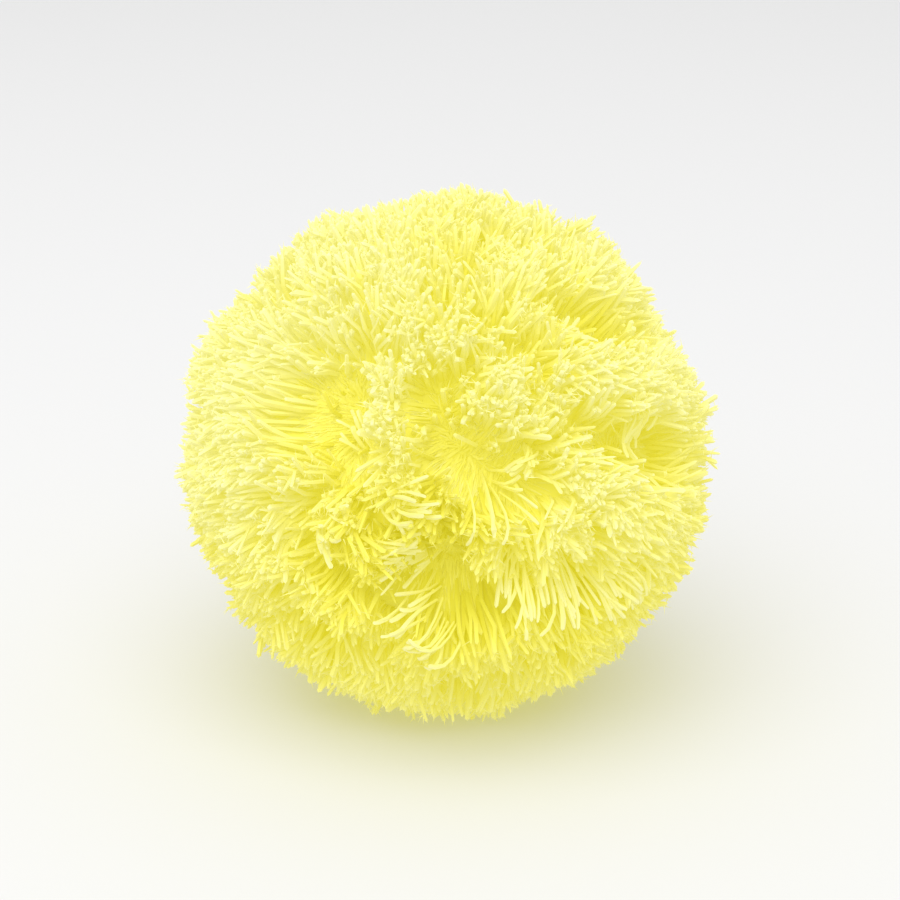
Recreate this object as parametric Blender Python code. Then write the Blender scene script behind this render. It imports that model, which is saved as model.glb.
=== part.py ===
"""Yarn pom pom: a dense ball of cut yarn, about 80 mm across, standing on a small pressed flat.

The pile is one closed solid. Its surface is the envelope of the trimmed yarn ends: a ball that
rises a little over each crown, where a lock of yarn gathers, and drops into each parting, where
neighbouring locks fall open. The ball stands on Z = 0, centred over the origin, front towards -Y.
"""

from collections import namedtuple
from math import asin, cos, exp, pi, radians, sin, sqrt
from random import Random

import bmesh
import bpy
from mathutils import Vector
from mathutils.geometry import intersect_point_line

# Driving dimensions, in metres.
BALL_RADIUS = 0.0398
FLAT_RADIUS = 0.0115
DEEPEST_PARTING = 0.0125

# Facets: each of the 20 faces of an icosahedron is halved this often, less one.
BALL_SUBDIVISIONS = 5
SHARP_EDGE = radians(35)

# Corners this near the flat lie on it.
FLAT_MARGIN = 0.00015

# Azimuths run from the front (-Y) towards the right (+X), elevations up from the ball's middle,
# both in degrees. Half widths and depths are in metres.
Crown = namedtuple("Crown", "azimuth elevation half_width rise")
Parting = namedtuple(
    "Parting", "azimuth_a elevation_a azimuth_b elevation_b half_width depth"
)

FRONT_CROWNS = (
    Crown(-15, 33, 0.0045, 0.0035),
    Crown(-14, 23, 0.0045, 0.0040),
    Crown(-9, 15, 0.0045, 0.0014),
    Crown(-28, 54, 0.0110, 0.0010),
    Crown(-62, 38, 0.0080, 0.0008),
    Crown(-64, 10, 0.0110, 0.0014),
    Crown(32, 55, 0.0060, 0.0008),
    Crown(40, 36, 0.0070, 0.0012),
    Crown(62, 28, 0.0060, 0.0008),
    Crown(14, 29, 0.0045, 0.0012),
    Crown(46, 2, 0.0090, 0.0014),
    Crown(13, 2, 0.0045, 0.0010),
    Crown(15, -17, 0.0060, 0.0012),
    Crown(-14, 3, 0.0060, 0.0010),
    Crown(-26, -14, 0.0060, 0.0008),
    Crown(-2, -27, 0.0060, 0.0008),
    Crown(-62, -32, 0.0080, 0.0006),
    Crown(32, -34, 0.0070, 0.0008),
)

FRONT_PARTINGS = (
    Parting(-32, 35, -27, 21, 0.0072, 0.0115),
    Parting(-43, 29, -35, 19, 0.0064, 0.0085),
    Parting(-4, 35, -1, 26, 0.0054, 0.0088),
    Parting(5, 19, 19, 12, 0.0050, 0.0095),
    Parting(-7, 2, 1, -2, 0.0034, 0.0060),
    Parting(-9, -11, 8, -12, 0.0046, 0.0110),
    Parting(14, -8, 36, -15, 0.0040, 0.0065),
    Parting(-36, 2, -31, -9, 0.0045, 0.0065),
    Parting(-24, 8, -20, 3, 0.0034, 0.0040),
    Parting(17, 45, 28, 37, 0.0044, 0.0065),
    Parting(44, 50, 66, 41, 0.0057, 0.0095),
    Parting(24, 28, 31, 22, 0.0038, 0.0060),
    Parting(38, 20, 48, 17, 0.0038, 0.0050),
    Parting(54, 13, 70, 8, 0.0054, 0.0090),
    Parting(84, 36, 92, 26, 0.0055, 0.0045),
    Parting(-80, 47, -52, 44, 0.0044, 0.0045),
    Parting(-40, -27, -14, -33, 0.0044, 0.0060),
    Parting(8, -42, 18, -36, 0.0042, 0.0055),
    Parting(40, 74, 66, 64, 0.0046, 0.0035),
    Parting(-16, 60, 6, 58, 0.0046, 0.0030),
)

# The pile behind follows one even rule: a spiral of places, each with a crown and a parting.
BEHIND_PLACES = 44
BEHIND_FRONT_GAP = radians(82)
BEHIND_FLAT_GAP = radians(48)
GOLDEN_ANGLE = pi * (3 - sqrt(5))
BEHIND_CROWN_RISE = 0.0010
BEHIND_CROWN_WIDTH = 0.0075
BEHIND_DEPTHS = (0.0045, 0.0095)
BEHIND_PARTING_WIDTHS = (0.0040, 0.0055)
BEHIND_PARTING_LENGTHS = (0.006, 0.013)
BEHIND_SEED = 12

YARN_COLOUR = (0.93, 0.87, 0.28, 1.0)
YARN_ROUGHNESS = 0.9


def clear_scene():
    for old in list(bpy.data.objects):
        bpy.data.objects.remove(old, do_unlink=True)


def direction(azimuth, elevation):
    """The unit vector at an azimuth and an elevation in degrees."""
    turn, lift = radians(azimuth), radians(elevation)
    return Vector((sin(turn) * cos(lift), -cos(turn) * cos(lift), sin(lift)))


def front_pile():
    """Crowns as (middle, half width, rise) and partings as (end, end, half width, depth)."""
    crowns = [
        (direction(c.azimuth, c.elevation), c.half_width, c.rise) for c in FRONT_CROWNS
    ]
    partings = [
        (
            direction(p.azimuth_a, p.elevation_a),
            direction(p.azimuth_b, p.elevation_b),
            p.half_width,
            p.depth,
        )
        for p in FRONT_PARTINGS
    ]
    return crowns, partings


def spiral_place(index):
    """One of BEHIND_PLACES directions spread evenly over the ball along a golden-angle spiral."""
    height = 1 - 2 * (index + 0.5) / BEHIND_PLACES
    ring = sqrt(1 - height * height)
    turn = index * GOLDEN_ANGLE
    return Vector((ring * cos(turn), ring * sin(turn), height))


def behind_pile():
    """The same two lists for the sides, top and back, clear of the front and of the flat."""
    chance = Random(BEHIND_SEED)
    front, down = direction(0, 12), Vector((0, 0, -1))
    crowns, partings = [], []
    for index in range(BEHIND_PLACES):
        place = spiral_place(index)
        swing = chance.uniform(0, pi)
        length = chance.uniform(*BEHIND_PARTING_LENGTHS)
        width = chance.uniform(*BEHIND_PARTING_WIDTHS)
        depth = chance.uniform(*BEHIND_DEPTHS)
        if place.angle(front) < BEHIND_FRONT_GAP or place.angle(down) < BEHIND_FLAT_GAP:
            continue
        across = place.orthogonal().normalized()
        along = across * cos(swing) + place.cross(across) * sin(swing)
        reach = along * (length / 2 / BALL_RADIUS)
        partings.append(
            ((place - reach).normalized(), (place + reach).normalized(), width, depth)
        )
        beside = (place + place.cross(along) * (2 * width / BALL_RADIUS)).normalized()
        crowns.append((beside, BEHIND_CROWN_WIDTH, BEHIND_CROWN_RISE))
    return crowns, partings


def bell(distance, half_width):
    return exp(-((distance / half_width) ** 2))


def pile_radius(place, crowns, partings):
    """How far the yarn ends reach from the ball's middle in one direction."""
    rise = sum(
        height * bell(place.angle(middle) * BALL_RADIUS, width)
        for middle, width, height in crowns
    )
    closed = 1.0
    for end_a, end_b, width, depth in partings:
        nearest, share = intersect_point_line(place, end_a, end_b)
        nearest = end_a.lerp(end_b, min(max(share, 0), 1)).normalized()
        closed *= 1 - depth / DEEPEST_PARTING * bell(
            place.angle(nearest) * BALL_RADIUS, width
        )
    return BALL_RADIUS + rise - DEEPEST_PARTING * (1 - closed)


def make_pile():
    """The ball as one closed mesh, cut flat where it stands."""
    front_crowns, front_partings = front_pile()
    behind_crowns, behind_partings = behind_pile()
    crowns = front_crowns + behind_crowns
    partings = front_partings + behind_partings
    ball = bmesh.new()
    bmesh.ops.create_icosphere(ball, subdivisions=BALL_SUBDIVISIONS, radius=1.0)
    for vert in ball.verts:
        place = vert.co.normalized()
        vert.co = place * pile_radius(place, crowns, partings)
    flat_height = -BALL_RADIUS * cos(asin(FLAT_RADIUS / BALL_RADIUS))
    cut = bmesh.ops.bisect_plane(
        ball,
        geom=ball.verts[:] + ball.edges[:] + ball.faces[:],
        dist=0.0001,
        plane_co=(0, 0, flat_height),
        plane_no=(0, 0, -1),
        clear_outer=True,
    )
    for vert in ball.verts:
        if vert.co.z < flat_height + FLAT_MARGIN:
            vert.co.z = flat_height
    rim = [edge for edge in cut["geom_cut"] if isinstance(edge, bmesh.types.BMEdge)]
    bmesh.ops.contextual_create(ball, geom=rim)
    bmesh.ops.recalc_face_normals(ball, faces=ball.faces[:])
    low = [min(vert.co[axis] for vert in ball.verts) for axis in range(3)]
    high = [max(vert.co[axis] for vert in ball.verts) for axis in range(3)]
    foot = Vector(((low[0] + high[0]) / 2, (low[1] + high[1]) / 2, low[2]))
    bmesh.ops.translate(ball, verts=ball.verts[:], vec=-foot)
    mesh = bpy.data.meshes.new("yarn_pile")
    ball.to_mesh(mesh)
    ball.free()
    mesh.shade_smooth()
    mesh.set_sharp_from_angle(angle=SHARP_EDGE)
    return mesh


def yarn_material():
    """Soft matt acrylic yarn, dyed pale lemon."""
    material = bpy.data.materials.new("yarn")
    material.use_nodes = True
    shader = material.node_tree.nodes["Principled BSDF"]
    shader.inputs["Base Color"].default_value = YARN_COLOUR
    shader.inputs["Roughness"].default_value = YARN_ROUGHNESS
    shader.inputs["Metallic"].default_value = 0.0
    material.diffuse_color = YARN_COLOUR
    return material


clear_scene()
pile = bpy.data.objects.new("yarn_pile", make_pile())
pile.data.materials.append(yarn_material())
bpy.context.scene.collection.objects.link(pile)
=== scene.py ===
"""Looks of a yarn pom pom: thousands of cut plies fanned out from a hidden tie, and their fuzz."""

from collections import namedtuple

import bpy
import numpy as np
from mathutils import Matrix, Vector


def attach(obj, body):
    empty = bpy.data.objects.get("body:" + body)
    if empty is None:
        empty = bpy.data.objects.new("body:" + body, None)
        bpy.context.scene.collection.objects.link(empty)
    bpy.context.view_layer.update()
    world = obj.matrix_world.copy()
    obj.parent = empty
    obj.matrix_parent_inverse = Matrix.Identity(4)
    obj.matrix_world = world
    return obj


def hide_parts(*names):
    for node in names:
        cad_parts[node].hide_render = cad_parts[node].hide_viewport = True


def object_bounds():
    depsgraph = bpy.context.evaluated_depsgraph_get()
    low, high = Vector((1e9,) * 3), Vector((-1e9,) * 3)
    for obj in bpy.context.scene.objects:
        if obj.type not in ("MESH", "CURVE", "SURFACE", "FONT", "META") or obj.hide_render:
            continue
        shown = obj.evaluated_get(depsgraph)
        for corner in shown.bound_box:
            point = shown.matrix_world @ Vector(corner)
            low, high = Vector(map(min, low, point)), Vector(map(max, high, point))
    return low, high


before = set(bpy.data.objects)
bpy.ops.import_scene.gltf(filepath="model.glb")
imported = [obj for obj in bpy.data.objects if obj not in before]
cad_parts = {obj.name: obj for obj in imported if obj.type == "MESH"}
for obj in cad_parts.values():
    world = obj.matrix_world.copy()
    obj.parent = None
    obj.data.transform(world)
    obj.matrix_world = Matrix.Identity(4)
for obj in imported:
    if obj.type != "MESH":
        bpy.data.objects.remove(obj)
cad_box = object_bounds()


# ---------------------------------------------------------------------------------------------
# The yarn. A soft acrylic yarn of loosely twisted plies, dyed pale lemon. The cut ends are the
# palest, where the fibres open; down between the plies the colour is painted fuller, as painted
# shade, and fullest under the ball, as painted shade where it faces the floor. One material dyes
# every piece of the pile.

# The map of every piece holds YARN_SHADES strips side by side, and up each of them a ply from
# root to tip. These are the colours on the way up: the lowest is painted shade under the ball,
# the next two the fuller colour painted as shade down between the plies, and the top the pale
# cut end.
Shade = namedtuple("Shade", "height colour")
YARN_SHADES = 32
YARN_FADE_AND_PAINTED_SHADE = (
    Shade(0.08, (0.840, 0.780, 0.062, 1)),
    Shade(0.40, (0.957, 0.897, 0.138, 1)),
    Shade(0.80, (0.980, 0.938, 0.300, 1)),
    Shade(1.00, (0.988, 0.968, 0.465, 1)),
)
FULLEST_DYE = (0.997, 0.993, 0.91)
PALEST_DYE = (1.0, 1.0, 1.05)
FIBRE_SCALE = (220.0, 14.0, 1.0)
STREAK_DETAIL = 3.0
YARN_ROUGHNESS = (0.80, 0.95)
YARN_GLOSS = 0.2
YARN_SHEEN = 0.25
SHEEN_ROUGHNESS = 0.5
SHEEN_COLOUR = (1.0, 0.98, 0.75, 1)


def node(tree, kind, links=None, **settings):
    """A shader node with its settings, and its inputs linked or set by name."""
    made = tree.nodes.new(kind)
    for name, value in settings.items():
        setattr(made, name, value)
    for name, value in (links or {}).items():
        if isinstance(value, bpy.types.NodeSocket):
            tree.links.new(value, made.inputs[name])
        else:
            made.inputs[name].default_value = value
    return made


def yarn_material(name):
    """Dyed yarn: the colours up the map, painted shade low down and pale cut ends on top, times a
    tint between the fullest and the palest dye, which is the mean of one random number for each
    strip and of fine streaks along the fibres."""
    material = bpy.data.materials.new(name)
    material.use_nodes = True
    tree = material.node_tree
    shader = tree.nodes["Principled BSDF"]
    place = node(tree, "ShaderNodeUVMap", uv_map="OFBake").outputs["UV"]
    parts = node(tree, "ShaderNodeSeparateXYZ", {0: place})
    fade_and_shade = node(tree, "ShaderNodeValToRGB", {"Fac": parts.outputs["Y"]})
    stops = fade_and_shade.color_ramp.elements
    stops[0].position, stops[0].color = YARN_FADE_AND_PAINTED_SHADE[0]
    stops[1].position, stops[1].color = YARN_FADE_AND_PAINTED_SHADE[-1]
    for shade in YARN_FADE_AND_PAINTED_SHADE[1:-1]:
        stops.new(shade.height).color = shade.colour
    across = node(
        tree,
        "ShaderNodeMath",
        {0: parts.outputs["X"], 1: YARN_SHADES},
        operation="MULTIPLY",
    )
    strip = node(tree, "ShaderNodeMath", {0: across.outputs[0]}, operation="FLOOR")
    pick = node(tree, "ShaderNodeTexWhiteNoise", {"W": strip.outputs[0]}, noise_dimensions="1D")
    fibres = node(tree, "ShaderNodeMapping", {"Vector": place, "Scale": FIBRE_SCALE})
    streak = node(
        tree,
        "ShaderNodeTexNoise",
        {"Vector": fibres.outputs[0], "Scale": 1.0, "Detail": STREAK_DETAIL},
    )
    both = node(
        tree,
        "ShaderNodeMath",
        {0: pick.outputs["Value"], 1: streak.outputs["Fac"]},
        operation="ADD",
    )
    mean = node(tree, "ShaderNodeMath", {0: both.outputs[0], 1: 0.5}, operation="MULTIPLY")
    tint = node(
        tree,
        "ShaderNodeMix",
        {"Factor": mean.outputs[0], "A": FULLEST_DYE, "B": PALEST_DYE},
        data_type="VECTOR",
    )
    dyed = node(
        tree,
        "ShaderNodeVectorMath",
        {0: fade_and_shade.outputs["Color"], 1: tint.outputs[1]},
        operation="MULTIPLY",
    )
    tree.links.new(dyed.outputs[0], shader.inputs["Base Color"])
    rough = node(
        tree,
        "ShaderNodeMapRange",
        {"Value": streak.outputs["Fac"], "To Min": YARN_ROUGHNESS[0], "To Max": YARN_ROUGHNESS[1]},
    )
    tree.links.new(rough.outputs[0], shader.inputs["Roughness"])
    shader.inputs["Specular IOR Level"].default_value = YARN_GLOSS
    shader.inputs["Sheen Weight"].default_value = YARN_SHEEN
    shader.inputs["Sheen Roughness"].default_value = SHEEN_ROUGHNESS
    shader.inputs["Sheen Tint"].default_value = SHEEN_COLOUR
    return material


yarn = yarn_material("lemon_yarn")


# ---------------------------------------------------------------------------------------------
# The pile. Every length of yarn runs through the hidden tie and is cut at the ball's surface,
# where its plies come apart. Neighbouring ends gather in tufts, flop their own ways at the tips,
# and lean off the partings, whose sides show the plies along their length.

# The tie's place, up the solid's height, and the counts.
TIE_HEIGHT = 0.489
TIE = np.array([0.0, 0.0, TIE_HEIGHT * (cad_box[1][2] - cad_box[0][2])])
SEED = 41
YARN_ENDS = 10200
PLIES_IN_YARN = 3
TUFTS = 2200
ROOT_STRAY, TUFT_STRAY = 0.010, 0.020

# A ply's rings lie that deep under its cut, each that share of its radius. Plies of the partings
# show further down, so they have one ring more.
PLY_SIDES = 4
PLY_RADIUS = (0.00029, 0.00046)
PLY_DEPTHS = np.array([0.0075, 0.0032, 0.0003])
PLY_SHAPE = np.array([0.90, 1.00, 0.92])
PARTED_DEPTHS = np.array([0.0150, 0.0080, 0.0032, 0.0003])
PARTED_SHAPE = np.array([0.85, 1.00, 1.00, 0.92])
PLY_UNEVEN = (0.88, 1.12)
PLY_ENDS = (0.45, 1.15)
NEAREST_TIE = 0.009

# How the lengths stray: the scissors' wave over the ball, each tuft, each yarn and each ply.
TRIM_BACK = 0.0009
TRIM_WAVE, TRIM_LUMPS = 0.007, 0.0005
TUFT_TRIM = 0.0005
YARN_TRIM = 0.00035
PLY_TRIM = 0.00045

# How the tips stray sideways: leans bend the outer BEND_LENGTH, tufts and curls the outer
# CURL_LENGTH, and flops the last FLOP_LENGTH.
BEND_LENGTH, BEND_POWER = 0.021, 1.5
BROAD_WAVE, BROAD_LEAN = 0.016, 0.0010
YARN_LEAN = 0.0010
PLY_LEAN = 0.0008
CURL_LENGTH, CURL_POWER = 0.0095, 1.6
TUFT_CURL = 0.0015
TUFT_PULL = 0.35
YARN_CURL = 0.0005
PLY_CURL = 0.0005
FLOP_LENGTH = 0.0038
TUFT_FLOP = 0.0009
YARN_FLOP = 0.0003
PLY_FLOP = 0.0009
PLY_WAVE, WAVE_FROM = 0.00030, 0.001

# Ends near a parting are combed up its slope in small strokes, the more the steeper it is.
COMB_STROKES = 6
COMB_STEP = 0.0011
COMB_SLOPE = 0.70
PARTED_FROM = 0.0018

# Some parted plies are cut back lower, and most of those rooted in a hollow are left out. Hollow
# starts that far under the ball's mean and is full that much further down.
LOW_SHARE = 0.30
LOW_DEPTHS = (0.0015, 0.0060)
HOLLOW_FROM = 0.0020
HOLLOW_SPAN = 0.0050
HOLLOW_SHARE = 0.88

# A ply's colours are taken from lower on the map, as painted shade, the further its tip lies
# under the ball's mean, the more it faces the floor, and the thinner the pile is about it.
PAINTED_SHADE_FROM = 0.0010
PAINTED_SHADE_SPAN = 0.012
PAINTED_SHADE_MOST = 0.6
UNDER_FROM, UNDER_SPAN = 0.12, 0.55
UNDER_PAINTED_SHADE = 0.24
THIN_PAINTED_SHADE = 0.60

# On the map, that depth under the cut is the bottom, and the rings of one ply keep that apart.
# A strip keeps margins at its sides, and the map a foot under its roots. The face across a root is
# a round of that half width and half height in the foot.
MAP_DEPTH = 0.012
MAP_STEP = 0.02
MAP_SIDE, MAP_STRIP = 0.06, 0.88
MAP_FOOT, MAP_RISE = 0.03, 0.95
ROOT_WIDE, ROOT_HIGH = 0.4, 0.01

# The solid's reach is read off its corners, merged to a micrometre and weighed by a bell of that
# many radians, so many ways at once, for every step of a grid. Slopes are taken that far to either
# side.
CORNER_DIGITS = 6
CORNER_BELL = 0.060
LEAST_WEIGHT = 1e-30
WAYS_AT_ONCE = 1500
GRID_STEPS = 150
SLOPE_STEP = 0.025
GOLDEN_ANGLE = np.pi * (3 - np.sqrt(5))

# Chance: strays are cut off at so many sizes, and drifts add up so many waves, their pitches
# spread by those factors.
STRAY_LIMIT = 2
DRIFT_WAVES = 48
DRIFT_PITCHES = (0.6, 1.4)

# Ways this steep count as near the poles, and none is taken as level when it is sent to the floor.
NEAR_POLE = 0.9
LEAST_DOWN = 1e-6
FLOOR_GAP = 0.0001

# Places run as on a globe: azimuths from the front towards the right, elevations up from the
# ball's middle, in degrees. A lean pushes the ends within a bell of its half width that far to
# the right and up.
Lean = namedtuple("Lean", "azimuth elevation half_width right up")
LEANS = (
    Lean(-15, 28, 0.005, -0.0014, 0.0),
    Lean(22, -14, 0.009, -0.0010, -0.0045),
    Lean(40, -18, 0.010, 0.0025, -0.0045),
    Lean(-12, -19, 0.008, -0.0045, -0.0020),
    Lean(-8, -27, 0.007, -0.0028, -0.0028),
    Lean(-14, 4, 0.008, 0.0030, -0.0015),
    Lean(-22, -6, 0.007, 0.0020, -0.0015),
    Lean(14, 3, 0.007, 0.0030, -0.0035),
    Lean(50, 2, 0.012, 0.0028, -0.0022),
    Lean(32, 47, 0.008, 0.0030, 0.0010),
    Lean(58, 37, 0.009, 0.0035, 0.0010),
    Lean(0, -40, 0.014, 0.0, -0.0030),
    Lean(-40, -36, 0.010, -0.0020, -0.0028),
    Lean(40, -45, 0.010, 0.0020, -0.0030),
    Lean(0, 58, 0.014, 0.0, 0.0020),
)

# The pile is thinner about these places: that share of its plies is missing.
Thin = namedtuple("Thin", "azimuth elevation half_width share")
THIN = (
    Thin(-13, -3, 0.0120, 0.55),
    Thin(-3, 4, 0.0070, 0.45),
    Thin(2, -14, 0.0080, 0.45),
    Thin(30, -24, 0.0090, 0.30),
    Thin(-38, 24, 0.0065, 0.85),
    Thin(-32, 26, 0.0050, 0.90),
)

# About some places a ply's colours are taken from higher on the map, by that share of what is
# left to its top: painted light, paler towards the upper left. About others rise is under nought,
# and the colours are taken from that much lower: darker about the top, and painted shade about
# the crevice low on the front.
Fade = namedtuple("Fade", "azimuth elevation half_width rise")
PAINTED_LIGHT_AND_SHADE = (
    Fade(-62, 34, 0.0190, 0.70),
    Fade(-10, 66, 0.0150, -0.18),
    Fade(-5, -7, 0.0150, -0.24),
)

chance = np.random.default_rng(SEED)


def unit(vectors):
    """Each vector divided by its length."""
    return vectors / np.linalg.norm(vectors, axis=-1, keepdims=True)


def stray(size, *shape):
    """Random numbers about nought of that size, cut off at STRAY_LIMIT times it."""
    return np.clip(chance.normal(size=shape), -STRAY_LIMIT, STRAY_LIMIT) * size


def spiral(count):
    """Evenly spread directions: equal steps of height and golden-angle turns, pole to pole."""
    step = np.arange(count) + 0.5
    height = 1 - 2 * step / count
    ring = np.sqrt(1 - height**2)
    turn = step * GOLDEN_ANGLE
    return np.stack([ring * np.cos(turn), ring * np.sin(turn), height], 1)


def beside(ways):
    """Two directions square to each way and to each other: the way crossed with the upright, or
    near the poles with the X axis, and then the way crossed with that."""
    helper = np.where(np.abs(ways[:, 2:]) < NEAR_POLE, [[0.0, 0.0, 1.0]], [[1.0, 0.0, 0.0]])
    first = unit(np.cross(ways, helper))
    return first, np.cross(ways, first)


def globe_place(azimuth, elevation):
    """The way of a place, and the ways to its right and up along the ball."""
    turn, lift = np.radians(azimuth), np.radians(elevation)
    way = (np.sin(turn) * np.cos(lift), -np.cos(turn) * np.cos(lift), np.sin(lift))
    right = (np.cos(turn), np.sin(turn), 0.0)
    up = (-np.sin(turn) * np.sin(lift), np.cos(turn) * np.sin(lift), np.cos(lift))
    return np.array([way, right, up])


def corners(name):
    """A CAD node's corners, merged where they coincide."""
    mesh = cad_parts[name].data
    flat = np.empty(len(mesh.vertices) * 3, np.float32)
    mesh.vertices.foreach_get("co", flat)
    return np.unique(flat.reshape(-1, 3).round(CORNER_DIGITS), axis=0)


form = corners("yarn_pile") - TIE
form_reach = np.linalg.norm(form, axis=1)
form_ways = form / form_reach[:, None]
ball = form_reach.mean()


def near_reach(ways):
    """The solid's reach each way: the mean of its corners' reach, each weighed by a bell of its
    angle from the way."""
    found = np.empty(len(ways))
    for part in np.array_split(np.arange(len(ways)), 1 + len(ways) // WAYS_AT_ONCE):
        weight = np.exp((2 * ways[part] @ form_ways.T - 2) / CORNER_BELL**2) + LEAST_WEIGHT
        found[part] = (weight @ form_reach) / weight.sum(1)
    return found


lifts, turns = np.meshgrid(
    np.linspace(-np.pi / 2, np.pi / 2, GRID_STEPS + 1),
    np.linspace(-np.pi, np.pi, 2 * GRID_STEPS + 1),
    indexing="ij",
)
grid_ways = np.stack(
    [np.cos(lifts) * np.cos(turns), np.cos(lifts) * np.sin(turns), np.sin(lifts)], 2
)
reach_grid = near_reach(grid_ways.reshape(-1, 3)).reshape(lifts.shape)


def reach(ways):
    """How far the pile reaches each way: read between the four nearest places of reach_grid, each
    weighed by its nearness, and no further down than the floor."""
    row = (np.arcsin(np.clip(ways[:, 2], -1, 1)) / np.pi + 0.5) * GRID_STEPS
    column = (np.arctan2(ways[:, 1], ways[:, 0]) / np.pi + 1) * GRID_STEPS
    low = np.minimum(row.astype(int), GRID_STEPS - 1)
    left = np.minimum(column.astype(int), 2 * GRID_STEPS - 1)
    up, on = row - low, column - left
    below = reach_grid[low, left] * (1 - on) + reach_grid[low, left + 1] * on
    above = reach_grid[low + 1, left] * (1 - on) + reach_grid[low + 1, left + 1] * on
    to_floor = TIE[2] / np.maximum(-ways[:, 2], LEAST_DOWN)
    return np.minimum(below * (1 - up) + above * up, to_floor)


def bell(ways, row):
    """From 1 at a row's place down to 0 well beyond its half width: e to the power of minus the
    square of their distance over the half width."""
    apart = np.arccos(np.clip(ways @ globe_place(row.azimuth, row.elevation)[0], -1, 1))
    return np.exp(-((apart * ball / row.half_width) ** 2))


def hollow(ways):
    """How hollow the pile is each way, from 0 on the ball to 1 well down a parting."""
    return np.clip((ball - HOLLOW_FROM - reach(ways)) / HOLLOW_SPAN, 0, 1)


def under(ways):
    """How much each way faces the floor, from 0 above the ball's waist to 1 well below it."""
    return np.clip((UNDER_FROM - ways[:, 2]) / UNDER_SPAN, 0, 1)


def uphill(ways):
    """The way the reach grows fastest over the ball, as long as it is steep: differences of the
    reach SLOPE_STEP to either side along two directions square to the way, over the reach."""
    first, second = beside(ways)
    slopes = []
    for aside in (first, second):
        more = reach(unit(ways + SLOPE_STEP * aside))
        less = reach(unit(ways - SLOPE_STEP * aside))
        slopes.append((more - less) / (2 * SLOPE_STEP))
    here = reach(ways)[:, None]
    return (slopes[0][:, None] * first + slopes[1][:, None] * second) / here


def drift(ways, length, size, outs):
    """Smooth random numbers over the ball: sine waves of about that length (metres) in random
    directions, added up to about that size."""
    pitch = 2 * np.pi * ball / length
    waves = unit(chance.normal(size=(DRIFT_WAVES, 3))) * pitch
    waves *= chance.uniform(*DRIFT_PITCHES, (DRIFT_WAVES, 1))
    phase = chance.uniform(0, 2 * np.pi, DRIFT_WAVES)
    sizes = chance.normal(size=(DRIFT_WAVES, outs)) * size * np.sqrt(2 / DRIFT_WAVES)
    return np.sin(ways @ waves.T + phase) @ sizes


def along(vectors, ways):
    """The vectors with their part in the ways' direction taken off, so they lie along the ball."""
    return vectors - (vectors * ways).sum(1, keepdims=True) * ways


def strands(line, radius, sides):
    """A closed tube on each line: about every point but the last a ring of corners square to
    the line, at that radius, drawn in to the last point."""
    count, rings = radius.shape
    tangent = unit(np.gradient(line, axis=1))[:, :rings]
    start = chance.normal(size=(count, 1, 3))
    first = unit(start - (start * tangent).sum(2, keepdims=True) * tangent)
    second = np.cross(tangent, first)
    turn = np.arange(sides) * 2 * np.pi / sides
    ring = (
        np.cos(turn)[None, None, :, None] * first[:, :, None]
        + np.sin(turn)[None, None, :, None] * second[:, :, None]
    )
    body = line[:, :rings, None] + radius[:, :, None, None] * ring
    points = np.concatenate([body.reshape(count, rings * sides, 3), line[:, -1:]], 1)
    points[:, :, 2] = np.maximum(points[:, :, 2], FLOOR_GAP)
    return points


def tube_faces(rings, sides):
    """Quads round and up one tube, a fan over its tip and one face across its root."""
    here = np.arange(sides)
    on = (here + 1) % sides
    up = np.arange(rings - 1)[:, None] * sides
    quads = np.stack([up + here, up + on, up + on + sides, up + here + sides], 2)
    tip, last = rings * sides, (rings - 1) * sides
    fan = np.stack([last + here, last + on, np.full(sides, tip)], 1)
    return quads.reshape(-1, 4), fan, here[::-1]


def tube_map(stations, sides):
    """One tube's places on its strip of the map, in the order of tube_faces: across it as the
    ring turns and up it by the rings' stations, its root a small round under the first."""
    side = np.arange(sides)
    quad_u = np.tile(np.stack([side, side + 1, side + 1, side], 1) / sides, (len(stations) - 1, 1))
    quad_v = np.repeat(
        np.stack([stations[:-1], stations[:-1], stations[1:], stations[1:]], 1), sides, 0
    )
    fan_u = np.stack([side, side + 1, side + 0.5], 1) / sides
    fan_v = np.tile([stations[-1], stations[-1], 1.0], (sides, 1))
    turn = side * 2 * np.pi / sides
    root_u = 0.5 + ROOT_WIDE * np.cos(turn)
    root_v = stations[0] - ROOT_HIGH + ROOT_HIGH * np.sin(turn)
    u = np.concatenate([quad_u.ravel(), fan_u.ravel(), root_u])
    v = np.concatenate([quad_v.ravel(), fan_v.ravel(), root_v])
    return u, v


def tubes(points, stations, sides, shade, painted_shading=0.0):
    """Many tubes as one lot of corners, face corners, face sizes and map places. Each tube lies
    in the strip of its shade. Its painted shading takes it lower on the map, as painted shade;
    where that is under nought it is painted light, higher on the map by that share of what is
    left to the top."""
    count, each = points.shape[:2]
    faces = tube_faces(len(stations), sides)
    base = np.arange(count)[:, None] * each
    loops = np.concatenate([base + part.reshape(1, -1) for part in faces], 1).ravel()
    sizes = np.tile(np.repeat([4, 3, sides], [len(faces[0]), sides, 1]), count)
    u, v = tube_map(stations, sides)
    strip = MAP_SIDE + MAP_STRIP * u[None] + shade[:, None]
    painted_drop = np.reshape(painted_shading, (-1, 1))
    painted_drop = np.where(painted_drop > 0, painted_drop, painted_drop * (1 - v[None]))
    height = np.maximum(v[None] - painted_drop, MAP_STEP * v[None])
    height = np.broadcast_to(MAP_FOOT + MAP_RISE * height, strip.shape)
    places = np.stack([strip / YARN_SHADES, height], 2)
    return points.reshape(-1, 3), loops, sizes, places.reshape(-1, 2)


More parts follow.
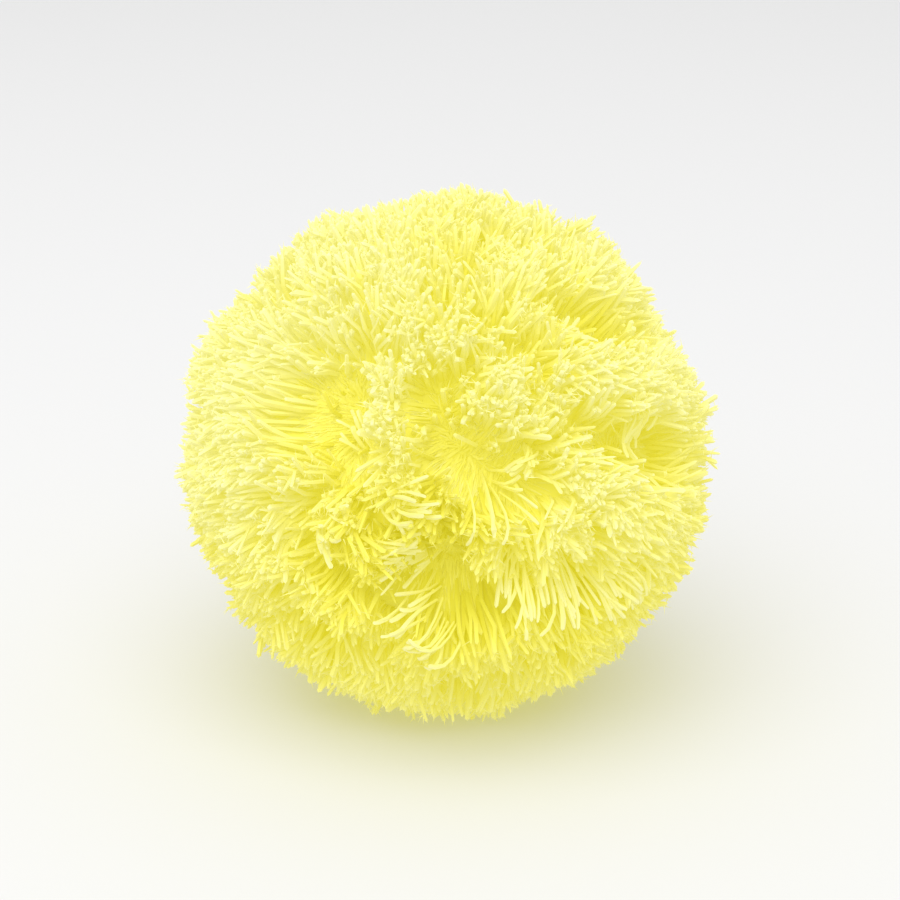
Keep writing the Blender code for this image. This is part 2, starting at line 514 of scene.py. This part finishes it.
def yarn_piece(name, lots, smooth=False):
    """One object of several lots of faces, dyed with the yarn, riding on the ball in place of its
    solid."""
    starts = np.cumsum([0] + [len(lot[0]) for lot in lots[:-1]])
    points = np.concatenate([lot[0] for lot in lots])
    loops = np.concatenate([lot[1] + start for lot, start in zip(lots, starts)])
    sizes = np.concatenate([lot[2] for lot in lots])
    places = np.concatenate([lot[3] for lot in lots])
    mesh = bpy.data.meshes.new(name)
    mesh.vertices.add(len(points))
    mesh.vertices.foreach_set("co", points.astype(np.float32).ravel())
    mesh.loops.add(len(loops))
    mesh.loops.foreach_set("vertex_index", loops.astype(np.int32))
    mesh.polygons.add(len(sizes))
    mesh.polygons.foreach_set("loop_start", np.concatenate([[0], np.cumsum(sizes)[:-1]]))
    mesh.update()
    if smooth:
        mesh.shade_smooth()
    else:
        mesh.shade_flat()
    mesh.uv_layers.new(name="OFBake").uv.foreach_set("vector", places.astype(np.float32).ravel())
    mesh.materials.append(yarn)
    made = bpy.data.objects.new(name, mesh)
    bpy.context.scene.collection.objects.link(made)
    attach(made, "root")
    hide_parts("yarn_pile")


# Where each yarn's root lies, and where combing takes its end.
roots = unit(spiral(YARN_ENDS) + stray(ROOT_STRAY, YARN_ENDS, 3))
combed = roots
for stroke in range(COMB_STROKES):
    slope = uphill(combed)
    squared = (slope**2).sum(1, keepdims=True)
    step = slope / np.sqrt(squared) * COMB_STEP / ball * squared / (squared + COMB_SLOPE**2)
    combed = unit(combed + step)

# How each yarn leans and is trimmed, and the tuft it gathers in.
lean = (combed - roots) * ball
for row in LEANS:
    right, up = globe_place(row.azimuth, row.elevation)[1:]
    lean += bell(roots, row)[:, None] * (row.right * right + row.up * up)
lean += drift(roots, BROAD_WAVE, BROAD_LEAN, 3)
lean += stray(YARN_LEAN, YARN_ENDS, 3)
trim = drift(roots, TRIM_WAVE, TRIM_LUMPS, 1)[:, 0] + stray(YARN_TRIM, YARN_ENDS) - TRIM_BACK
leaned = unit(roots + lean / ball)
tufts = unit(spiral(TUFTS) + stray(TUFT_STRAY, TUFTS, 3))
tuft = (leaned @ tufts.T).argmax(1)
trim += stray(TUFT_TRIM, TUFTS)[tuft]
yarn_curl = stray(YARN_CURL, YARN_ENDS, 3) + stray(TUFT_CURL, TUFTS, 3)[tuft]
yarn_curl += TUFT_PULL * (tufts[tuft] - leaned) * ball

# Its plies, less those missing where the pile is hollow or thin.
missing = HOLLOW_SHARE * hollow(roots)
for row in THIN:
    missing = np.maximum(missing, row.share * bell(roots, row))
own = np.repeat(np.arange(YARN_ENDS), PLIES_IN_YARN)
own = own[chance.random(len(own)) > missing[own]]
plies = len(own)
root_ways = roots[own]
tip_ways = unit(root_ways + (lean[own] + stray(PLY_LEAN, plies, 3)) / ball)
tip_reach = reach(tip_ways) + trim[own] + stray(PLY_TRIM, plies)
parted = np.linalg.norm(combed - roots, axis=1)[own] * ball > PARTED_FROM
low = parted & (chance.random(plies) < LOW_SHARE)
tip_reach[low] -= chance.uniform(*LOW_DEPTHS, low.sum())
curl = along(yarn_curl[own] + stray(PLY_CURL, plies, 3), tip_ways)
yarn_flop = stray(TUFT_FLOP, TUFTS, 3)[tuft] + stray(YARN_FLOP, YARN_ENDS, 3)
flop = along(yarn_flop[own] + stray(PLY_FLOP, plies, 3), tip_ways)
shades = chance.integers(0, YARN_SHADES, plies)
# Painted shade: tips deep under the ball's mean, facing the floor or where the pile is thin take
# their colours from lower on the map. About the listed patches they move up or down the map as
# well.
painted_shading = np.clip((ball - PAINTED_SHADE_FROM - tip_reach) / PAINTED_SHADE_SPAN, 0, PAINTED_SHADE_MOST)
painted_shading += UNDER_PAINTED_SHADE * under(tip_ways)
for row in THIN:
    painted_shading += THIN_PAINTED_SHADE * row.share * bell(tip_ways, row)
for row in PAINTED_LIGHT_AND_SHADE:
    painted_shading -= row.rise * bell(tip_ways, row)


def aside(mine, depth):
    """How far some plies' points lie off their middle lines, so deep under the cut: the curl and
    the flop, each times the share of its length that is left there, the curl's to a power."""
    curled = curl[mine][:, None] * np.clip(1 - depth / CURL_LENGTH, 0, 1) ** CURL_POWER
    return curled + flop[mine][:, None] * np.clip(1 - depth / FLOP_LENGTH, 0, 1)


def ply_points(mine, depths, shape):
    """The tubes of some plies: each bends from its root's way to its tip's, waves a little,
    curls and flops at the end, and is thickest under the cut."""
    depth = np.append(depths, 0.0)[None, :, None]
    outward = np.maximum(tip_reach[mine][:, None, None] - depth, NEAREST_TIE)
    bend = np.clip(1 - depth / BEND_LENGTH, 0, 1) ** BEND_POWER
    bent = root_ways[mine][:, None] + (tip_ways - root_ways)[mine][:, None] * bend
    line = TIE + outward * unit(bent) + aside(mine, depth)
    line += stray(PLY_WAVE, *line.shape) * (depth > WAVE_FROM)
    thick = chance.uniform(*PLY_RADIUS, size=(len(line), 1)) * shape
    thick *= chance.uniform(*PLY_UNEVEN, thick.shape)
    thick[:, -1] *= chance.uniform(*PLY_ENDS, size=len(line))
    return strands(line, thick, PLY_SIDES)


def ply_stations(depths):
    """How far up the map a ply's rings lie, so deep under its cut."""
    return np.maximum(1 - depths / MAP_DEPTH, MAP_STEP * np.arange(len(depths)))


# One piece of each side of the ball: its short plies, and those of its partings.
Side = namedtuple("Side", "name way")
SIDES = (
    Side("right", (1, 0, 0)),
    Side("left", (-1, 0, 0)),
    Side("back", (0, 1, 0)),
    Side("front", (0, -1, 0)),
    Side("top", (0, 0, 1)),
    Side("under", (0, 0, -1)),
)
side_of = (root_ways @ np.array([side.way for side in SIDES], float).T).argmax(1)
for index, side in enumerate(SIDES):
    short = (side_of == index) & ~parted
    short_points = ply_points(short, PLY_DEPTHS, PLY_SHAPE)
    deep = (side_of == index) & parted
    deep_points = ply_points(deep, PARTED_DEPTHS, PARTED_SHAPE)
    yarn_piece(
        f"pile_{side.name}",
        [
            tubes(short_points, ply_stations(PLY_DEPTHS), PLY_SIDES, shades[short], painted_shading[short]),
            tubes(deep_points, ply_stations(PARTED_DEPTHS), PLY_SIDES, shades[deep], painted_shading[deep]),
        ],
    )


# ---------------------------------------------------------------------------------------------
# The fuzz. Single fibres worked loose from the cut plies, standing out a little in every
# direction all over the ball.

# A fibre is a closed spike on a ply drawn at random, rooted that deep under its cut. It takes its
# colours from the top of the map, moved by that share of its ply's painted light and shade.
HAIRS = 46000
HAIR_SIDES = 3
HAIR_RADIUS = 0.00010
HAIR_LENGTH = (0.0008, 0.0018)
HAIR_SPLAY = 1.1
HAIR_DEPTH = (0.0003, 0.0018)
HAIR_ASIDE = 0.00015
HAIR_STATIONS = np.array([0.95])
HAIR_PAINTED_SHADING = 0.5

source = chance.integers(0, plies, HAIRS)
below = chance.uniform(*HAIR_DEPTH, (HAIRS, 1))
foot = TIE + tip_ways[source] * (tip_reach[source, None] - below)
foot += aside(source, below[:, :, None])[:, 0] + stray(HAIR_ASIDE, HAIRS, 3)
hair_way = unit(tip_ways[source] + stray(HAIR_SPLAY, HAIRS, 3))
hair_way *= np.sign((hair_way * tip_ways[source]).sum(1, keepdims=True))
hair_line = np.stack([foot, foot + hair_way * chance.uniform(*HAIR_LENGTH, size=(HAIRS, 1))], 1)
hair_points = strands(hair_line, np.full((HAIRS, 1), HAIR_RADIUS), HAIR_SIDES)
hair_painted_shading = HAIR_PAINTED_SHADING * painted_shading[source]
yarn_piece("fuzz", [tubes(hair_points, HAIR_STATIONS, HAIR_SIDES, shades[source], hair_painted_shading)])


# ---------------------------------------------------------------------------------------------
# The loose plies. Where the pile falls open, longer plies spring out of the partings in fans and
# lie over the ends beside them, held by the same tie.

# A fan springs from a place, headed that many degrees round from rightwards towards up, give or
# take its spread. Its plies start that deep and end a little over the pile; bow lifts their
# middles.
Fan = namedtuple("Fan", "azimuth elevation heading spread length plies deep bow")
FANS = (
    Fan(13, 12, -20, 30, 0.0050, 5, 0.0050, 0.0004),
    Fan(7.5, 14, -90, 4, 0.0085, 3, 0.0040, 0.0008),
    Fan(18, -6, -105, 18, 0.0085, 14, 0.0045, 0.0004),
    Fan(27, -9, -85, 28, 0.0085, 14, 0.0045, 0.0004),
    Fan(36, -11, -55, 24, 0.0085, 18, 0.0045, 0.0004),
    Fan(-13, 8, -15, 40, 0.0065, 12, 0.0045, 0.0004),
    Fan(-17, -3, -8, 40, 0.0065, 14, 0.0045, 0.0004),
    Fan(-4, -7, -160, 30, 0.0065, 16, 0.0045, 0.0004),
    Fan(-6, -18, -166, 26, 0.0060, 9, 0.0045, 0.0004),
    Fan(0, -22, -150, 34, 0.0060, 9, 0.0045, 0.0004),
    Fan(38, 44, 10, 30, 0.0085, 16, 0.0045, 0.0004),
    Fan(24, 18, -150, 24, 0.0055, 7, 0.0040, 0.0004),
    Fan(-34, 0, -30, 45, 0.0065, 16, 0.0045, 0.0004),
    Fan(56, 22, -95, 24, 0.0065, 14, 0.0040, 0.0004),
    Fan(-25, 18, 132, 16, 0.0080, 7, 0.0040, 0.0003),
)

# A loose ply's rings lie at those shares of its length, each that share of its radius, and take
# their colours from the upper half of the map.
FAN_ALONG = np.array([0.0, 0.2, 0.42, 0.64, 0.84, 0.97])
FAN_SHAPE = np.array([0.47, 0.55, 0.64, 0.75, 0.85, 0.72])
FAN_STATIONS = 0.50 + 0.45 * FAN_ALONG
FAN_LENGTHS = (0.7, 1.1)
FAN_UNEVEN = (0.9, 1.1)
FAN_START = 0.0011
FAN_SWAY = 0.0006
FAN_OVER = 0.0003


def fan_line(fan):
    """The ways of a fan's plies and how far over the pile they lie: straight ahead along the
    ball with a sway to one side and a bend; deep at the start, less by the square of what is left
    to go, with half a sine wave of bow."""
    way, right, up = globe_place(fan.azimuth, fan.elevation)
    heading = np.radians(fan.heading + chance.uniform(-fan.spread, fan.spread, (fan.plies, 1)))
    ahead = np.cos(heading) * right + np.sin(heading) * up
    sideways = np.cross(way, ahead)
    length = fan.length * chance.uniform(*FAN_LENGTHS, (fan.plies, 1, 1))
    t = np.append(FAN_ALONG, 1.0)[None, :, None]
    sway = stray(FAN_SWAY, fan.plies, 1, 1) * np.sin(np.pi * t)
    sway = sway + stray(FAN_SWAY, fan.plies, 1, 1) * t**2
    start = way + stray(FAN_START, fan.plies, 1, 3) / ball
    ways = unit(start + (ahead[:, None] * length * t + sideways[:, None] * sway) / ball)
    over = FAN_OVER + stray(FAN_OVER, fan.plies, 1) - fan.deep * (1 - t[:, :, 0]) ** 2
    return ways, over + fan.bow * np.sin(np.pi * t[:, :, 0])


fans = [fan_line(fan) for fan in FANS]
fan_ways = np.concatenate([ways for ways, over in fans])
fan_over = np.concatenate([over for ways, over in fans])
fan_reach = reach(fan_ways.reshape(-1, 3)).reshape(fan_ways.shape[:2]) + fan_over
fan_thick = chance.uniform(*PLY_RADIUS, size=(len(fan_ways), 1)) * FAN_SHAPE
fan_thick *= chance.uniform(*FAN_UNEVEN, fan_thick.shape)
fan_points = strands(TIE + fan_ways * fan_reach[:, :, None], fan_thick, PLY_SIDES)
fan_shades = chance.integers(0, YARN_SHADES, len(fan_ways))
yarn_piece("loose_plies", [tubes(fan_points, FAN_STATIONS, PLY_SIDES, fan_shades)])


# ---------------------------------------------------------------------------------------------
# The packed middle. A few millimetres down, the plies are pressed so close that no light passes
# between them. In a parting they come near the surface, and fine plies lie up its walls.

# It lies that deep under the pile's surface, less in a parting. Its colour is taken from that far
# up the map, among the fuller colours painted as shade, and from lower where it faces the floor,
# as painted shade.
MIDDLE_DEPTH = 0.0065
WALL_DEPTH = 0.0028
MIDDLE_STEPS = (160, 80)
MIDDLE_STATION = 0.42
MIDDLE_SHADE = 0.5 / YARN_SHADES
PIT_PAINTED_SHADE = 0.30

# The walls' plies start at random in the hollows, WALL_POOL places tried for each, and run up the
# slope, a little over the packed middle.
WALL_PLIES = 6500
WALL_POOL = 20
WALL_SIDES = 3
WALL_RADIUS = (0.00016, 0.00030)
WALL_SHAPE = np.array([0.8, 1.0])
WALL_LENGTH = (0.0025, 0.0060)
WALL_RISE = (0.00005, 0.00035)
WALL_ASIDE = 0.0003
WALL_STATIONS = np.array([0.42, 0.50])
WALL_ALONG = np.array([0.0, 0.5, 1.0])


def globe(across, up):
    """Rings of directions from pole to pole, then the two poles: turn by height angle."""
    turn = np.arange(across) * 2 * np.pi / across
    lift = (np.arange(up - 1) + 1) * np.pi / up - np.pi / 2
    turn, lift = np.meshgrid(turn, lift)
    ways = np.stack([np.cos(turn) * np.cos(lift), np.sin(turn) * np.cos(lift), np.sin(lift)], 2)
    poles = [[0.0, 0.0, -1.0], [0.0, 0.0, 1.0]]
    return np.concatenate([ways.reshape(-1, 3), poles])


def globe_faces(across, up):
    """The face corners and face sizes for globe(): quads between rings, triangles to the poles."""
    here = np.arange(across)
    on = (here + 1) % across
    row = np.arange(up - 2)[:, None] * across
    quads = np.stack([row + here, row + on, row + on + across, row + here + across], 2)
    bottom, top, last = (up - 1) * across, (up - 1) * across + 1, (up - 2) * across
    low = np.stack([on, here, np.full(across, bottom)], 1)
    high = np.stack([last + here, last + on, np.full(across, top)], 1)
    loops = np.concatenate([quads.ravel(), low.ravel(), high.ravel()])
    return loops, np.repeat([4, 3], [quads.size // 4, 2 * across])


def middle(ways):
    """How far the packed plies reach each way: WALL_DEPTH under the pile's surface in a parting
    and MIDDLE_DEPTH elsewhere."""
    return reach(ways) - MIDDLE_DEPTH + (MIDDLE_DEPTH - WALL_DEPTH) * hollow(ways)


middle_ways = globe(*MIDDLE_STEPS)
middle_loops, middle_sizes = globe_faces(*MIDDLE_STEPS)
# Painted shade: the middle's colour lies lower on the map where it faces the floor.
middle_heights = MAP_FOOT + MAP_RISE * (MIDDLE_STATION - PIT_PAINTED_SHADE * under(middle_ways))
middle_places = np.stack(
    [np.full(len(middle_loops), MIDDLE_SHADE), middle_heights[middle_loops]], 1
)
middle_points = TIE + middle_ways * middle(middle_ways)[:, None]
middle_lot = (middle_points, middle_loops, middle_sizes, middle_places)
yarn_piece("packed_middle", [middle_lot], smooth=True)

wall_feet = unit(chance.normal(size=(WALL_PLIES * WALL_POOL, 3)))
wall_feet = wall_feet[chance.random(len(wall_feet)) < hollow(wall_feet)][:WALL_PLIES]
climb = unit(uphill(wall_feet)) * chance.uniform(*WALL_LENGTH, size=(len(wall_feet), 1)) / ball
wall_line = wall_feet[:, None] + climb[:, None] * WALL_ALONG[None, :, None]
wall_ways = unit(wall_line + stray(WALL_ASIDE / ball, *wall_line.shape))
wall_reach = middle(wall_ways.reshape(-1, 3)).reshape(wall_ways.shape[:2])
wall_reach += chance.uniform(*WALL_RISE, wall_reach.shape)
wall_thick = chance.uniform(*WALL_RADIUS, size=(len(climb), 1)) * WALL_SHAPE
wall_points = strands(TIE + wall_ways * wall_reach[:, :, None], wall_thick, WALL_SIDES)
wall_shades = chance.integers(0, YARN_SHADES, len(climb))
# Painted shade: the walls' plies take fuller colours from low on the map, lower still where they
# face the floor.
wall_painted_shading = PIT_PAINTED_SHADE * under(wall_feet)
yarn_piece("wall_plies", [tubes(wall_points, WALL_STATIONS, WALL_SIDES, wall_shades, wall_painted_shading)])


# ---------------------------------------------------------------------------------------------
# The floor, the light and the camera. A white table under one broad soft lamp, above and a little
# to the left, in a white room, seen from a little above.

FLOOR_SIZE = 6.0
FLOOR_COLOUR = (0.78, 0.78, 0.78, 1)
FLOOR_ROUGHNESS = 0.9
FLOOR_GLOSS = 0.1
ROOM_LIGHT = 0.91
LAMP_PLACE = (-0.14, -0.50, 1.00)
LAMP_SIZE = 1.4
LAMP_WATTS = 6.3

# Light passes many times between the plies. Past its second bounce a share of the room's own light
# stands in for it, wherever nothing lies within STAND_IN_DISTANCE.
LIGHT_BOUNCES = 12
TRACED_BOUNCES = 2
STAND_IN_SHARE = 0.92
STAND_IN_DISTANCE = 0.00002

CAMERA_LENS = 85.0
CAMERA_ELEVATION = 20.0
CAMERA_DISTANCE = 0.325
CAMERA_NEAR = 0.01

scene = bpy.context.scene
floor_mesh = bpy.data.meshes.new("table_top")
half = FLOOR_SIZE / 2
floor_mesh.from_pydata(
    [(-half, -half, 0), (half, -half, 0), (half, half, 0), (-half, half, 0)], [], [(0, 1, 2, 3)]
)
floor_paint = bpy.data.materials.new("table_white")
floor_paint.use_nodes = True
floor_shader = floor_paint.node_tree.nodes["Principled BSDF"]
floor_shader.inputs["Base Color"].default_value = FLOOR_COLOUR
floor_shader.inputs["Roughness"].default_value = FLOOR_ROUGHNESS
floor_shader.inputs["Specular IOR Level"].default_value = FLOOR_GLOSS
floor_mesh.materials.append(floor_paint)
table_top = bpy.data.objects.new("table_top", floor_mesh)
scene.collection.objects.link(table_top)

room = bpy.data.worlds.new("white_room")
room.use_nodes = True
room.node_tree.nodes["Background"].inputs["Color"].default_value = (1, 1, 1, 1)
room.node_tree.nodes["Background"].inputs["Strength"].default_value = ROOM_LIGHT
room.cycles.sampling_method = "NONE"
room.light_settings.distance = STAND_IN_DISTANCE
room.light_settings.ao_factor = STAND_IN_SHARE
scene.world = room
scene.cycles.max_bounces = LIGHT_BOUNCES
scene.cycles.diffuse_bounces = LIGHT_BOUNCES
scene.cycles.use_fast_gi = True
scene.cycles.fast_gi_method = "REPLACE"
scene.cycles.ao_bounces = TRACED_BOUNCES
scene.cycles.ao_bounces_render = TRACED_BOUNCES
scene.view_settings.view_transform = "Standard"

lamp_data = bpy.data.lights.new("soft_lamp", "AREA")
lamp_data.shape = "DISK"
lamp_data.size = LAMP_SIZE
lamp_data.energy = LAMP_WATTS
lamp = bpy.data.objects.new("soft_lamp", lamp_data)
lamp.location = LAMP_PLACE
lamp.rotation_euler = (Vector(TIE) - Vector(LAMP_PLACE)).to_track_quat("-Z", "Y").to_euler()
scene.collection.objects.link(lamp)

lift = np.radians(CAMERA_ELEVATION)
camera_data = bpy.data.cameras.new("camera")
camera_data.lens = CAMERA_LENS
camera_data.clip_start = CAMERA_NEAR
camera = bpy.data.objects.new("camera", camera_data)
camera_way = Vector((0, -np.cos(lift), np.sin(lift)))
camera.location = Vector(TIE) + CAMERA_DISTANCE * camera_way
camera.rotation_euler = (-camera_way).to_track_quat("-Z", "Y").to_euler()
scene.collection.objects.link(camera)
scene.camera = camera
